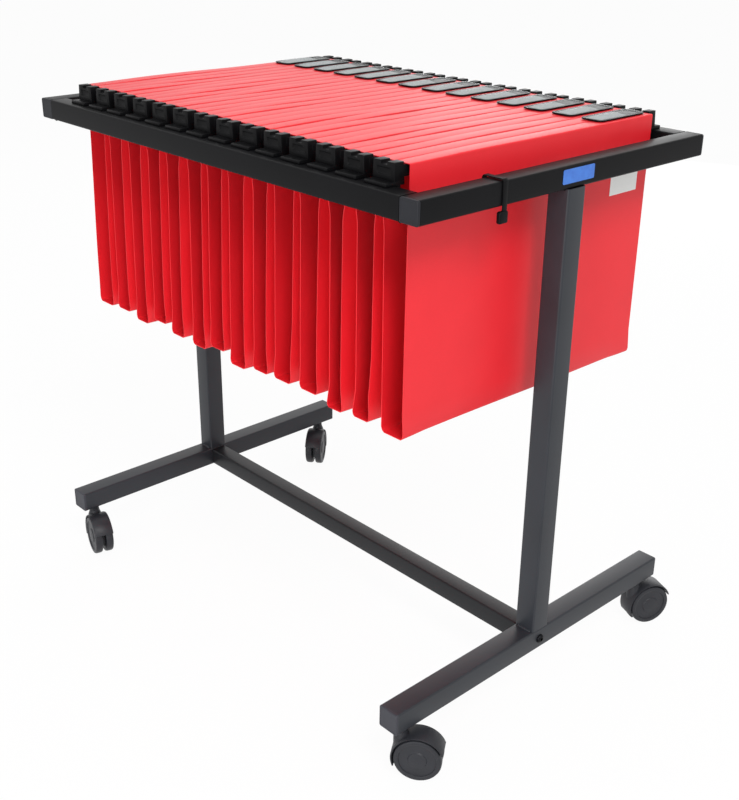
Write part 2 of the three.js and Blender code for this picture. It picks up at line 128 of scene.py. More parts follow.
# Share of the swell, at a height over the wheels
NECK_FLARE = ((1, -3 * MM), (0.3, 2 * MM), (0, 5 * MM))
NECK_STEPS = 48
NECK_GAP = 0.3 * MM  # under the foot
COLLAR_RADIUS = 7.2 * MM
COLLAR_HEIGHT = 2.2 * MM
COLLAR_CHAMFER = 0.3 * MM
STEM_RADIUS = 5 * MM
STEM_LENGTH = 13 * MM  # inside the foot
WHEEL_RADIUS = 25 * MM
WHEEL_WIDTH = 9.8 * MM
WHEEL_GAP = 0.5 * MM
WHEEL_STEPS = 64
WHEEL_BORE = 3.3 * MM
WHEEL_FACE = 3.2 * MM  # wall outside the blind bore
WHEEL_INNER_EDGE = 22.6 * MM  # radius of the inner face
TREAD_EDGE = ((24.2 * MM, 0.5 * MM), (24.9 * MM, 2 * MM))  # radius, at a distance from each face
RIM_RADII = (22.8 * MM, 20.4 * MM)  # of the raised ring on the outer face
DISH = ((19.6 * MM, 0.3 * MM), (19.2 * MM, 1.2 * MM), (10.5 * MM, 1.5 * MM))  # radius, at a depth
HUB_CAP = ((9.9 * MM, 1.3 * MM), (9.3 * MM, 0.5 * MM), (7.5 * MM, 0.2 * MM))  # radius, at a depth
WELL_GAP = 1.2 * MM  # between a wheel's tread and the hood
TRAIL = 18 * MM
AXLE_RADIUS = 3 * MM
AXLE_LENGTH = 17.4 * MM
AXLE_EDGE = 0.4 * MM

# Suspension files
CARD_THICKNESS = 0.7 * MM
CARD_SLIT = 0.8 * MM
CARD_TUCK = 5 * MM  # how far each flap is turned down into the slit
FLAP_ROUND = 0.5 * MM
FLAP_DIP = 0.2 * MM
PANEL_ROUND = 1 * MM
PANEL_BULGE = 0.25 * MM  # how far a used card stands out at each side
PANEL_LEAN = 1 * MM
PANEL_STEPS = 12
BOTTOM_FOLD = 5 * MM
BOTTOM_FLAT = 26 * MM
CARD_LENGTH_STEPS = 22
EDGE_DRAW = (3 * MM, 9.5 * MM)  # how far the ends of a panel are drawn in, least and most
EDGE_DRAW_OUTSIDE = (0.3 * MM, 1 * MM)  # of the outermost panels
EDGE_FROM = 14 * MM  # from a file's middle, where its panels' ends begin
EDGE_HELD = 50 * MM  # of a panel below its top, that the hanger holds straight
EDGE_REACH = 50 * MM
CORNER_DRAW = 5 * MM  # most that a bottom corner is drawn in further
CORNER_REACH = 70 * MM
FLAP_SWELL = (0.2 * MM, 1.3 * MM)  # how far a flap stands up beside the slit, least and most
FLAP_SWELL_WIDTH = 4 * MM
FLAP_SWELL_HALF = 12 * MM  # half the length of what is pulled up
FLAP_REACH = 110 * MM
BELLY = (0.3 * MM, 1.8 * MM)  # how far a panel sinks in, least and most
BELLY_FROM = 8 * MM  # from a file's middle, beyond which its panels lie
BELLY_HALF_LENGTH = 50 * MM  # of what is pulled in
BELLY_HALF_HEIGHT = 30 * MM
BELLY_RISE = 0.35  # of a panel's height, to the middle of its belly
BELLY_REACH = 140 * MM
BOTTOM_SWAY = -11 * MM  # of the first file's bottom, less and less to the last
SWAY_POWER = 3  # how late along the row the sway fades
SWAY_SPREAD = (-1 * MM, 1 * MM)  # of a bottom's end to the side, least and most
BOTTOM_RISE = (-3 * MM, 9 * MM)  # of a bottom's end, least and most
BOTTOM_END = 20 * MM  # length of a bottom's end
WARP_SEED = 14

# Hangers
HOOK_EDGE = 0.5 * MM
HOOK_CHAMFER = 1 * MM
HOOK_PLATE = 3.5 * MM
LIP_CLEARANCE = 0.5 * MM
LIP_THICKNESS = 4 * MM
LIP_DEPTH = 10 * MM
LIP_LEAD = 2 * MM  # height of the slope that leads the lip over the rail
TOOTH_GAP = 1.5 * MM  # from a card's end to the teeth
TOOTH_DEPTH = 12 * MM
TOOTH_RISE = 1.5 * MM  # above the card
TOOTH_NOTCH = 8 * MM  # between the two teeth of one end
TOOTH_NOTCH_DEPTH = 3 * MM
TOOTH_EDGE = 0.4 * MM
TOOTH_EDGE_STEPS = 3
TOOTH_TAPER = 0.94
TOOTH_RECESS = 0.9 * MM
TOOTH_RECESS_MARGIN = 5.2 * MM
TOOTH_DRAFT = 0.3 * MM
RUNNER_FOOT = 6.7 * MM  # above the rail
RUNNER_HEIGHT = 10 * MM
RUNNER_THICKNESS = 2.5 * MM
RUNNER_EDGE = 0.5 * MM

# Label tabs
TAB_LENGTH = 75 * MM
TAB_WIDTH = 27 * MM
TAB_REAR_INSET = 5 * MM  # from a card's rear end
TAB_LIFT = 0.8 * MM  # above the card
TAB_STEM = 0.5 * MM
TAB_STEM_LENGTH = 40 * MM
TAB_STEM_EDGE = 0.2 * MM
TAB_BRIDGE = 6 * MM  # side of the bar that carries the stem between the runners
TAB_BASE = 1.2 * MM
TAB_CORNER = 6 * MM
TAB_CORNER_STEPS = 5
# The rim is drawn wide. Its black is partly the base's own and partly painted shade for the shadow under
# the tab's edge.
TAB_RIM = 3 * MM
TAB_FLOOR = 0.6 * MM  # below the rim
TAB_DRAFT = 0.2 * MM
TAB_SLIP_LENGTH = (0.6, 0.86)  # of a paper slip over its tab, least and most
TAB_SLIP_SEED = 5
TAB_SLIP_INSET = 4 * MM
TAB_SLIP_THICKNESS = 0.25 * MM
TAB_COVER_INSET = 1.4 * MM
TAB_COVER_WALL = 0.5 * MM
TAB_END_HEIGHTS = (0.12, 0.8)  # share of a dome's height at its ends, and one step in
TAB_ARC_STEPS = 10
TAB_LENGTH_STEPS = 12

# Labels
LABEL_THICKNESS = 0.35 * MM
BAR_LABEL_SPAN = (-21 * MM, 24.5 * MM)  # along the bar
BAR_LABEL_MARGINS = (5.5 * MM, 3 * MM)  # under and over the label
BAR_LABEL_CORNER = 1.5 * MM
BAR_LABEL_CORNER_STEPS = 4
FILE_LABEL_SPAN = (112 * MM, 157 * MM)  # along the card
FILE_LABEL_FOOT = 539 * MM  # above the floor
FILE_LABEL_HEIGHT = 21 * MM
FILE_LABEL_ROWS = 6
FILE_LABEL_COLUMNS = 12
FILE_LABEL_CLEAR = 10 * MM  # outside the card before it is laid on


def middle_of(low, high):
    """The point midway between two corners."""
    return (Vector(low) + Vector(high)) / 2


# Modelling by hand, in code


def deselect():
    bpy.ops.object.select_all(action="DESELECT")


def activate(piece):
    deselect()
    piece.select_set(True)
    bpy.context.view_layer.objects.active = piece


def named(name):
    """Names what was just added, and puts its place into its mesh."""
    piece = bpy.context.object
    piece.name = name
    piece.data.name = name
    bpy.ops.object.transform_apply(location=True, rotation=True, scale=True)
    return piece


def block(name, low, high):
    """A cube between two corners."""
    deselect()
    size = Vector(high) - Vector(low)
    bpy.ops.mesh.primitive_cube_add(size=1, location=middle_of(low, high), scale=size)
    return named(name)


def round_bar(name, radius, length, centre, axis, sides=48):
    """A round bar along X, Y or Z."""
    deselect()
    turn = {X: (0, math.pi / 2, 0), Y: (math.pi / 2, 0, 0), Z: (0, 0, 0)}[axis]
    bpy.ops.mesh.primitive_cylinder_add(
        vertices=sides, radius=radius, depth=length, location=centre, rotation=turn
    )
    return named(name)


@contextmanager
def picked(piece, kind, test=lambda at, way: True):
    """Edit mode with each vertex, edge or face selected whose place and direction pass the test."""
    activate(piece)
    bpy.ops.object.mode_set(mode="EDIT")
    bpy.ops.mesh.select_mode(type=kind)
    bpy.ops.mesh.select_all(action="DESELECT")
    mesh = bmesh.from_edit_mesh(piece.data)
    if kind == "VERT":
        found = [v for v in mesh.verts if test(v.co, v.normal)]
    elif kind == "EDGE":
        ends = [(e, *(v.co for v in e.verts)) for e in mesh.edges]
        found = [e for e, a, b in ends if test((a + b) / 2, (b - a).normalized())]
    else:
        found = [f for f in mesh.faces if test(f.calc_center_median(), f.normal)]
    for part in found:
        part.select_set(True)
    mesh.select_flush_mode()
    bmesh.update_edit_mesh(piece.data)
    yield
    bpy.ops.object.mode_set(mode="OBJECT")


def extrude(way):
    bpy.ops.mesh.extrude_region_move(TRANSFORM_OT_translate={"value": way})


def drawn(name, points):
    """A line of edges from point to point, pulled out of one vertex."""
    deselect()
    bpy.ops.mesh.primitive_plane_add(size=MM, location=points[0])
    piece = named(name)
    with picked(piece, "VERT"):
        bpy.ops.mesh.merge(type="CENTER")
        for start, end in zip(points, points[1:]):
            extrude(Vector(end) - Vector(start))
    return piece


def swept(name, points, way, steps):
    """A drawn line pulled along a way into a sheet."""
    piece = drawn(name, points)
    with picked(piece, "VERT"):
        for _ in range(steps):
            extrude(Vector(way) / steps)
    return piece


def prism(name, points, way):
    """A drawn outline, filled and pulled along a way into a solid."""
    piece = drawn(name, points)
    with picked(piece, "VERT"):
        bpy.ops.mesh.edge_face_add()
        extrude(way)
        bpy.ops.mesh.select_all(action="SELECT")
        bpy.ops.mesh.normals_make_consistent(inside=False)
    return piece


def turned(name, points, centre, axis, angle=2 * math.pi, steps=WHEEL_STEPS):
    """A drawn profile spun about an axis, with its open ends filled."""
    piece = drawn(name, points)
    with picked(piece, "VERT"):
        bpy.ops.mesh.spin(steps=steps, angle=angle, center=centre, axis=axis)
        bpy.ops.mesh.select_all(action="SELECT")
        bpy.ops.mesh.remove_doubles(threshold=MERGE)
        bpy.ops.mesh.fill_holes(sides=0)
        bpy.ops.mesh.normals_make_consistent(inside=False)
    return piece


def modified(piece, kind, **settings):
    """Gives a piece a modifier and applies it."""
    activate(piece)
    modifier = piece.modifiers.new(kind.title(), kind)
    for setting, value in settings.items():
        setattr(modifier, setting, value)
    bpy.ops.object.modifier_apply(modifier=modifier.name)
    return piece


def rounded(piece, width, segments=2):
    """Rounds every sharp edge of a piece."""
    return modified(piece, "BEVEL", width=width, segments=segments, limit_method="ANGLE")


def cut(piece, tool):
    """Takes one piece out of another and throws the tool away."""
    modified(piece, "BOOLEAN", operation="DIFFERENCE", object=tool, solver="EXACT")
    thrown_away(tool)
    return piece


def thrown_away(piece):
    activate(piece)
    bpy.ops.object.delete()


def joined(pieces):
    activate(pieces[0])
    for piece in pieces[1:]:
        piece.select_set(True)
    bpy.ops.object.join()
    return pieces[0]


def copied(piece, name, place=Matrix.Identity(4)):
    """A copy with a mesh of its own, at a place that goes into its mesh."""
    activate(piece)
    bpy.ops.object.duplicate()
    bpy.context.object.matrix_world = place
    return named(name)


def finished(piece, material, body, node=None):
    """Smooths a piece, gives it its material and sets it on the body that carries it."""
    activate(piece)
    bpy.ops.object.shade_smooth_by_angle(angle=SMOOTH_ANGLE)
    piece.data.materials.clear()
    piece.data.materials.append(material)
    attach(piece, body)
    if node:
        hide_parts(node)
    return piece


# Materials


def srgb(hex_colour):
    """An sRGB hex colour as a linear one."""
    parts = [int(hex_colour[i : i + 2], 16) / 255 for i in (1, 3, 5)]
    return (*[p / 12.92 if p <= 0.04045 else ((p + 0.055) / 1.055) ** 2.4 for p in parts], 1)


def add(tree, kind, values=None, links=None, **settings):
    """Adds a node with its settings, its input values and its links."""
    made = tree.nodes.new(kind)
    for setting, value in settings.items():
        setattr(made, setting, value)
    for socket, value in (values or {}).items():
        made.inputs[socket].default_value = value
    for socket, source in (links or {}).items():
        tree.links.new(source, made.inputs[socket])
    return made


def surface(name, **constants):
    """An empty material with its shader, and the place on the piece that its patterns read."""
    material = bpy.data.materials.new(name)
    material.use_nodes = True
    tree = material.node_tree
    tree.nodes.clear()
    values = {socket.replace("_", " "): value for socket, value in constants.items()}
    shader = add(tree, "ShaderNodeBsdfPrincipled", values)
    add(tree, "ShaderNodeOutputMaterial", links={"Surface": shader.outputs["BSDF"]})
    place = add(tree, "ShaderNodeTexCoord").outputs["Object"]
    return material, tree, shader, place


def grain(size):
    """The scale of a noise whose grains have a size in metres."""
    return 1 / size


def toned(tree, shader, factor, dark, light):
    """Colours a shader between two hex colours by a factor."""
    ramp = add(tree, "ShaderNodeMix", {6: srgb(dark), 7: srgb(light)}, {0: factor}, data_type="RGBA")
    tree.links.new(ramp.outputs[2], shader.inputs["Base Color"])


def roughened(tree, shader, factor, low, high):
    """Lets a shader's roughness follow a factor."""
    spread = add(tree, "ShaderNodeMapRange", {"To Min": low, "To Max": high}, {"Value": factor})
    tree.links.new(spread.outputs["Result"], shader.inputs["Roughness"])


def embossed(tree, shader, height, depth, strength):
    """Bumps a shader's surface by a height pattern of a depth in metres."""
    bump = add(tree, "ShaderNodeBump", {"Distance": depth, "Strength": strength}, {"Height": height})
    tree.links.new(bump.outputs["Normal"], shader.inputs["Normal"])


def powder_coat(name, dark, light, specular):
    """Polyester powder coat on steel: satin and dark, with the soft orange peel of melted powder."""
    material, tree, shader, place = surface(name, IOR=1.5, Specular_IOR_Level=specular)
    peel = add(tree, "ShaderNodeTexNoise", {"Scale": grain(1.8 * MM), "Detail": 1.5}, {"Vector": place})
    cloud = add(tree, "ShaderNodeTexNoise", {"Scale": grain(70 * MM), "Detail": 4}, {"Vector": place})
    toned(tree, shader, cloud.outputs["Fac"], dark, light)
    roughened(tree, shader, cloud.outputs["Fac"], low=0.32, high=0.48)
    embossed(tree, shader, peel.outputs["Fac"], depth=0.05 * MM, strength=0.35)
    return material


def moulded(name, dark, light, specular, low, high, grit_size):
    """Injection-moulded plastic: an even colour, with the fine spark-eroded grain of its mould."""
    # The grain is drawn several times as coarse as it is, so that it shows
    material, tree, shader, place = surface(name, IOR=1.5, Specular_IOR_Level=specular)
    grit = add(tree, "ShaderNodeTexNoise", {"Scale": grain(grit_size), "Detail": 2}, {"Vector": place})
    cloud = add(tree, "ShaderNodeTexNoise", {"Scale": grain(25 * MM), "Detail": 3}, {"Vector": place})
    toned(tree, shader, cloud.outputs["Fac"], dark, light)
    roughened(tree, shader, grit.outputs["Fac"], low, high)
    embossed(tree, shader, grit.outputs["Fac"], depth=0.08 * MM, strength=0.4)
    return material


def drawn_steel(name, dark, light, low, high):
    """Drawn steel bar: an uneven polish of fine scratches, coloured by its finish."""
    # The scratches are drawn many times as coarse as they are, so that they show
    material, tree, shader, place = surface(name, Metallic=1)
    scratch = add(tree, "ShaderNodeTexNoise", {"Scale": grain(0.9 * MM), "Detail": 5}, {"Vector": place})
    toned(tree, shader, scratch.outputs["Fac"], dark, light)
    roughened(tree, shader, scratch.outputs["Fac"], low, high)
    return material


def red_card():
    """Pressed file card dyed through: short felted fibres, faint clouding and a calendered sheen."""
    material, tree, shader, place = surface("pressed_card_red", IOR=1.5, Specular_IOR_Level=0.4)
    along = add(tree, "ShaderNodeMapping", {"Scale": (1, 0.35, 1)}, {"Vector": place})
    felt = {"Scale": grain(1.1 * MM), "Detail": 5, "Roughness": 0.65}
    fibre = add(tree, "ShaderNodeTexNoise", felt, {"Vector": along.outputs[0]})
    cloud = add(tree, "ShaderNodeTexNoise", {"Scale": grain(45 * MM), "Detail": 5}, {"Vector": place})
    # Mostly the lighter red, with clouds and fibres over it
    both = {0: cloud.outputs["Fac"], 1: fibre.outputs["Fac"]}
    blend = add(tree, "ShaderNodeMath", {2: 0.6}, both, operation="MULTIPLY_ADD")
    toned(tree, shader, blend.outputs[0], "#d0101c", "#e6202b")
    roughened(tree, shader, fibre.outputs["Fac"], low=0.36, high=0.52)
    embossed(tree, shader, fibre.outputs["Fac"], depth=0.06 * MM, strength=0.3)
    return material


def clear_vinyl():
    """Clear vinyl sheet, heat formed: glossy, slightly milky and faintly uneven."""
    material, tree, shader, place = surface("clear_vinyl", IOR=1.53, Alpha=0.07)
    wave = add(tree, "ShaderNodeTexNoise", {"Scale": grain(9 * MM), "Detail": 2}, {"Vector": place})
    toned(tree, shader, wave.outputs["Fac"], "#d5dadb", "#f1f4f4")
    roughened(tree, shader, wave.outputs["Fac"], low=0.04, high=0.12)
    return material


def white_paper(name, dark, light):
    """Uncoated paper: matt, with a faint mottle of fibres."""
    # The mottle is drawn coarser than it is, so that it shows
    material, tree, shader, place = surface(name, IOR=1.45)
    fibre = add(tree, "ShaderNodeTexNoise", {"Scale": grain(0.8 * MM), "Detail": 4}, {"Vector": place})
    toned(tree, shader, fibre.outputs["Fac"], dark, light)
    roughened(tree, shader, fibre.outputs["Fac"], low=0.7, high=0.85)
    return material


def blue_vinyl():
    """Printed vinyl label: satin, its blue ink faintly mottled."""
    material, tree, shader, place = surface("label_vinyl_blue", IOR=1.5)
    mottle = add(tree, "ShaderNodeTexNoise", {"Scale": grain(6 * MM), "Detail": 3}, {"Vector": place})
    toned(tree, shader, mottle.outputs["Fac"], "#2459b4", "#3f7fd6")
    roughened(tree, shader, mottle.outputs["Fac"], low=0.3, high=0.42)
    return material


COAT = powder_coat("powder_coat_satin_black", "#0a0a0b", "#111113", specular=0.08)
# Posts and feet: the top frame's black coat painted lighter and bluer. This is painted light, standing in
# for the floor's reflection and the light from the right.
LEG_COAT_PAINTED_LIGHT = powder_coat("powder_coat_black_painted_light", "#24262a", "#2f3238", specular=0.3)
# Stretcher: the same black coat painted darker, as painted shade.
STRETCHER_COAT_PAINTED_SHADE = powder_coat("powder_coat_black_painted_shade", "#18191b", "#212225", specular=0.22)
POLYTHENE = {"low": 0.42, "high": 0.58, "grit_size": 0.7 * MM}
POLYPROPYLENE = {"low": 0.34, "high": 0.5, "grit_size": 0.6 * MM}
POLYAMIDE = {"low": 0.36, "high": 0.52, "grit_size": 0.6 * MM}
CAP_PLASTIC = moulded("moulded_polythene_grey", "#2f3036", "#3b3c43", specular=0.3, **POLYTHENE)
PLUG_PLASTIC = moulded("moulded_polythene_black", "#18191d", "#222328", specular=0.2, **POLYTHENE)
HANGER_PLASTIC = moulded(
    "moulded_polypropylene_black", "#070708", "#0d0d0f", specular=0.09, **POLYPROPYLENE
)
NYLON = moulded("moulded_nylon_dark", "#202125", "#2d2e33", specular=0.3, **POLYAMIDE)
BRIGHT_PIN = drawn_steel("drawn_steel_bright", "#8b8f94", "#b4b8bc", low=0.22, high=0.38)
BLACK_BOLT = drawn_steel("steel_black_oxide", "#121214", "#26272a", low=0.34, high=0.5)
CARD = red_card()
CLEAR = clear_vinyl()
PAPER = white_paper("uncoated_paper_white", "#e9eae8", "#f7f7f5")
# The tabs' slips are white paper, painted grey as painted shade
SLIP_PAPER_PAINTED_SHADE = white_paper("uncoated_paper_white_painted_shade", "#8b9091", "#acb0b0")
BLUE = blue_vinyl()


# Steel frame


def tube(name, low, high, axis):
    """A length of square tube between two corners, rounded along its length and open at its ends."""
    piece = block(name, low, high)
    with picked(piece, "EDGE", lambda at, way: abs(way[axis]) > ALONG):
        bpy.ops.mesh.bevel(offset=TUBE_ROUND, segments=TUBE_CORNER_STEPS, affect="EDGES")
    with picked(piece, "FACE", lambda at, way: abs(way[axis]) > ALONG):
        bpy.ops.mesh.delete(type="FACE")
    return modified(piece, "SOLIDIFY", thickness=TUBE_WALL, offset=-1)


def end_piece(name, seat, outer, centre, side):
    """A moulded tube end: a flange with soft edges and a shallow dish, and a plug inside the tube."""
    outward = 1 if outer > seat else -1
    rim = outer - outward * PLUG_EDGE
    reach = Vector((side / 2, 0, side / 2))
    low = Vector((centre.x, min(seat, rim), centre.z)) - reach
    piece = block(name, low, Vector((centre.x, max(seat, rim), centre.z)) + reach)
    with picked(piece, "EDGE", lambda at, way: abs(way.y) > ALONG):
        bpy.ops.mesh.bevel(offset=TUBE_ROUND, segments=TUBE_CORNER_STEPS, affect="EDGES")
    with picked(piece, "FACE", lambda at, way: way.y * outward < -ALONG):
        bpy.ops.mesh.inset(thickness=TUBE_WALL + PLUG_WALL_GAP)
        extrude((0, -outward * PLUG_DEPTH, 0))
    with picked(piece, "FACE", lambda at, way: way.y * outward > ALONG):
        for step in range(PLUG_EDGE_STEPS):
            start, end = (math.pi / 2 * (step + i) / PLUG_EDGE_STEPS for i in (0, 1))
            run = PLUG_EDGE * (math.cos(start) - math.cos(end))
            bpy.ops.mesh.inset(thickness=run, depth=PLUG_EDGE * (math.sin(end) - math.sin(start)))
        bpy.ops.mesh.inset(thickness=PLUG_DISH_MARGIN - PLUG_EDGE)
        bpy.ops.mesh.inset(thickness=PLUG_DISH, depth=-PLUG_DISH)
    return piece


def end_bar(side):
    """A top bar from front to rear, with a plug in each end."""
    node = f"end_bar_{side}"
    low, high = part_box(node)
    shorter = Vector((0, PLUG_FLANGE + PLUG_LINE, 0))
    bar = tube(f"{node}_tube", low + shorter, high - shorter, Y)
    finished(bar, COAT, "frame", node)
    for end, outer, inward in (("front", low.y, 1), ("rear", high.y, -1)):
        seat = outer + inward * PLUG_FLANGE
        plug = end_piece(f"{node}_plug_{end}", seat, outer, middle_of(low, high), high.z - low.z)
        finished(plug, PLUG_PLASTIC, "frame")


def foot(side):
    """A foot tube, drilled for its castor stems, with a cap in each end."""
    node = f"foot_{side}"
    low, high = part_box(node)
    piece = tube(f"{node}_tube", low, high, Y)
    for end in ENDS:
        stem = STEMS[f"{end}_{side}"]
        cut(piece, round_bar("stem_drill", STEM_HOLE, 2 * TUBE_WALL, (stem.x, stem.y, low.z), Z))
    finished(piece, LEG_COAT_PAINTED_LIGHT, "frame", node)
    for end, seat in (("front", low.y), ("rear", high.y)):
        cap = f"foot_cap_{end}_{side}"
        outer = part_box(cap)[0 if end == "front" else 1].y
        moulding = end_piece(f"{cap}_moulding", seat, outer, middle_of(low, high), high.z - low.z)
        finished(moulding, CAP_PLASTIC, "frame", cap)


def straight_tube(node, axis, coat):
    """A post, rail or stretcher: one length of tube."""
    finished(tube(f"{node}_tube", *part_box(node), axis), coat, "frame", node)


def weld_bead():
    """A short bead along X about the origin, with the ripples of its runs."""
    bead = round_bar("weld_bead", WELD_RADIUS, WELD_LENGTH, (0, 0, 0), X, sides=12)
    rings = 2 * WELD_RIPPLES
    with picked(bead, "EDGE", lambda at, way: abs(way.x) > ALONG):
        bpy.ops.mesh.subdivide(number_cuts=rings - 1)
    pitch = WELD_LENGTH / rings

    def on_crest(at, way):
        ring = round((at.x + WELD_LENGTH / 2) / pitch)
        return ring % 2 == 1

    with picked(bead, "VERT", on_crest):
        bpy.ops.transform.resize(value=(1, WELD_RIPPLE, WELD_RIPPLE), center_override=(0, 0, 0))
    with picked(bead, "VERT", lambda at, way: abs(at.x) > WELD_LENGTH / 2 - pitch / 2):
        bpy.ops.transform.resize(value=(1, WELD_END, WELD_END), center_override=(0, 0, 0))
    return bead


def weld_beads(name, bead, places, coat):
    """Copies of a bead in their places, as one piece under a coat."""
    piece = joined([copied(bead, f"{name}_{i}", place) for i, place in enumerate(places)])
    piece.name = name
    finished(piece, coat, "frame")


def welds(side):
    """The beads of one end: a post to its foot and its bar, and both rails to the bar."""
    bead = weld_bead()
    low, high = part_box(f"post_{side}")
    centre = middle_of(low, high)
    inner = low.x if side == "right" else high.x
    along_y = Matrix.Rotation(math.pi / 2, 4, "Z")
    along_z = Matrix.Rotation(math.pi / 2, 4, "Y")
    at_foot = [Matrix.Translation((centre.x, y, low.z)) for y in (low.y, high.y)]
    at_bar = [Matrix.Translation((centre.x, y, high.z)) for y in (low.y, high.y)]
    for end in ENDS:
        rail_low, rail_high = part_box(f"rail_{end}")
        inside = rail_high.y if end == "front" else rail_low.y
        rail = middle_of(rail_low, rail_high)
        at_bar.append(Matrix.Translation((inner, rail.y, rail_low.z)) @ along_y)
        at_bar.append(Matrix.Translation((inner, inside, rail.z)) @ along_z)
    weld_beads(f"weld_beads_foot_{side}", bead, at_foot, LEG_COAT_PAINTED_LIGHT)
    weld_beads(f"weld_beads_bar_{side}", bead, at_bar, COAT)
    thrown_away(bead)


def stretcher_bolt(side):
    """A button-head bolt with a hexagon socket, its head outside the foot."""
    node = f"stretcher_bolt_{side}"
    low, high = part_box(node)
    centre = middle_of(low, high)
    outward = 1 if side == "right" else -1
    top = high.x if outward > 0 else low.x
    end = low.x if outward > 0 else high.x
    seat = top - outward * BOLT_HEAD_HEIGHT
    head = ((top + seat) / 2, centre.y, centre.z)
    piece = round_bar(f"{node}_head", BOLT_HEAD, BOLT_HEAD_HEIGHT, head, X)
    with picked(piece, "EDGE", lambda at, way: abs(at.x - top) < HAIR):
        bpy.ops.mesh.bevel(offset=BOLT_DOME, segments=BOLT_DOME_STEPS, affect="EDGES")
    with picked(piece, "FACE", lambda at, way: way.x * outward < -ALONG):
        bpy.ops.mesh.inset(thickness=BOLT_HEAD - BOLT_SHANK)
        extrude((end - seat, 0, 0))
    tool = (top, centre.y, centre.z)
    cut(piece, round_bar("socket", BOLT_SOCKET, 2 * BOLT_SOCKET_DEPTH, tool, X, sides=6))
    finished(piece, BLACK_BOLT, "frame", node)


def bar_clip():
    """A narrow spring strap folded over the right end bar, with a ribbed knob at the end of its tail."""
    low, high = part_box("bar_clip")
    bar_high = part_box("end_bar_right")[1]
    half = CLIP_WALL / 2
    outer = bar_high.x + half + CLIP_GAP
    inner = low.x + half
    top = high.z - half
    inner_foot = bar_high.z - CLIP_INNER_LEG
    front = STRAP_MIDDLE - STRAP_WIDTH / 2
    points = [
        (inner - CLIP_FLARE, front, inner_foot),
        (inner, front, inner_foot + CLIP_FLARE_HEIGHT),
        (inner, front, top - CLIP_CORNER),
        (inner + CLIP_CORNER, front, top),
        (outer - CLIP_CORNER, front, top),
        (outer, front, top - CLIP_CORNER),
        (outer, front, low.z + KNOB_HEIGHT / 2),
    ]
    strap = swept("bar_clip_spring", points, (0, STRAP_WIDTH, 0), 2)
    modified(strap, "SOLIDIFY", thickness=CLIP_WALL, offset=0)
    rounded(strap, CLIP_EDGE)
    knob_low = (high.x - KNOB_THICKNESS, low.y, low.z)
    knob = block("knob", knob_low, (high.x, high.y, low.z + KNOB_HEIGHT))
    rounded(knob, KNOB_ROUND, KNOB_ROUND_STEPS)
    for i in range(KNOB_GRIPS):
        groove = (high.x + GRIP_OUT, 0, low.z + KNOB_HEIGHT * (i + 1) / (KNOB_GRIPS + 1))
        cut(knob, round_bar("grip", GRIP_RADIUS, 2 * (high.y - low.y), groove, Y, sides=12))
    finished(joined([strap, knob]), HANGER_PLASTIC, "frame", "bar_clip")


# Castors, modelled about the swivel axis with the trail along +X, then set in their corners


def joint_places(prefix):
    """The places of the joints with a prefix, by the rest of their names."""
    found = [joint for joint in frame["joints"] if joint["name"].startswith(prefix)]
    return {joint["name"].removeprefix(prefix): Vector(joint["pos_m"]) for joint in found}


STEMS = joint_places("swivel_")
AXLES = joint_places("roll_a_")


def castor_place(corner):
    """Where a castor stands, and the way it trails."""
    stem = STEMS[corner]
    trail = AXLES[corner] - stem
    return Matrix.Translation((stem.x, stem.y, 0)) @ Matrix.Rotation(math.atan2(trail.y, trail.x), 4, "Z")


def castor_hood(axle, half):
    """The hood over both wheels, spun about their axle."""
    well = WHEEL_RADIUS + WELL_GAP
    outer = well + HOOD_WALL
    section = [
        (well, -half + HOOD_EDGE),
        (well + HOOD_EDGE, -half),
        (outer - HOOD_EDGE, -half),
        (outer, -half + HOOD_SHOULDER),
        (outer, half - HOOD_SHOULDER),
        (outer - HOOD_EDGE, half),
        (well + HOOD_EDGE, half),
        (well, half - HOOD_EDGE),
        (well, -half + HOOD_EDGE),
    ]
    start = Vector((math.cos(HOOD_FROM), 0, math.sin(HOOD_FROM)))
    profile = [axle + start * radius + Vector((0, across, 0)) for radius, across in section]
    return turned("castor_hood", profile, axle, (0, 1, 0), HOOD_TO - HOOD_FROM, HOOD_STEPS)


def castor_web(axle):
    """The plate between the wheels, cut off level with the hood's ends."""
    web = round_bar("castor_web", WEB_RADIUS, WEB, axle, Y, sides=WHEEL_STEPS)
    start, end = (Vector((math.cos(a), 0, math.sin(a))) for a in (HOOD_FROM, HOOD_TO))
    upward = (start - end).cross((0, 1, 0))
    through = axle + start * WEB_RADIUS
    with picked(web, "VERT"):
        bpy.ops.mesh.bisect(plane_co=through, plane_no=upward, use_fill=True, clear_inner=True)
    return web


def castor_neck(axle, half):
    """The neck from between the wheels to its collar, and the stem up into the foot."""
    foot_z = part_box("foot_left")[0].z
    neck_top = foot_z - NECK_GAP
    collar = neck_top - COLLAR_HEIGHT
    stem_top = foot_z + STEM_LENGTH
    profile = [(0, WHEEL_RADIUS), (NECK_RADIUS + NECK_SWELL, WHEEL_RADIUS)]
    profile += [(NECK_RADIUS + share * NECK_SWELL, 2 * WHEEL_RADIUS + over) for share, over in NECK_FLARE]
    profile += [
        (NECK_RADIUS, collar),
        (COLLAR_RADIUS, collar + COLLAR_CHAMFER),
        (COLLAR_RADIUS, neck_top),
        (STEM_RADIUS, neck_top),
        (STEM_RADIUS, stem_top),
        (0, stem_top),
    ]
    points = [(radius, 0, z) for radius, z in profile]
    neck = turned("castor_neck", points, (0, 0, 0), (0, 0, 1), steps=NECK_STEPS)
    for side in (-1, 1):
        beside_web = (axle.x, side * (WEB + half) / 2, axle.z)
        cut(neck, round_bar("well", WHEEL_RADIUS + WELL_GAP, half, beside_web, Y, sides=WHEEL_STEPS))
    return neck


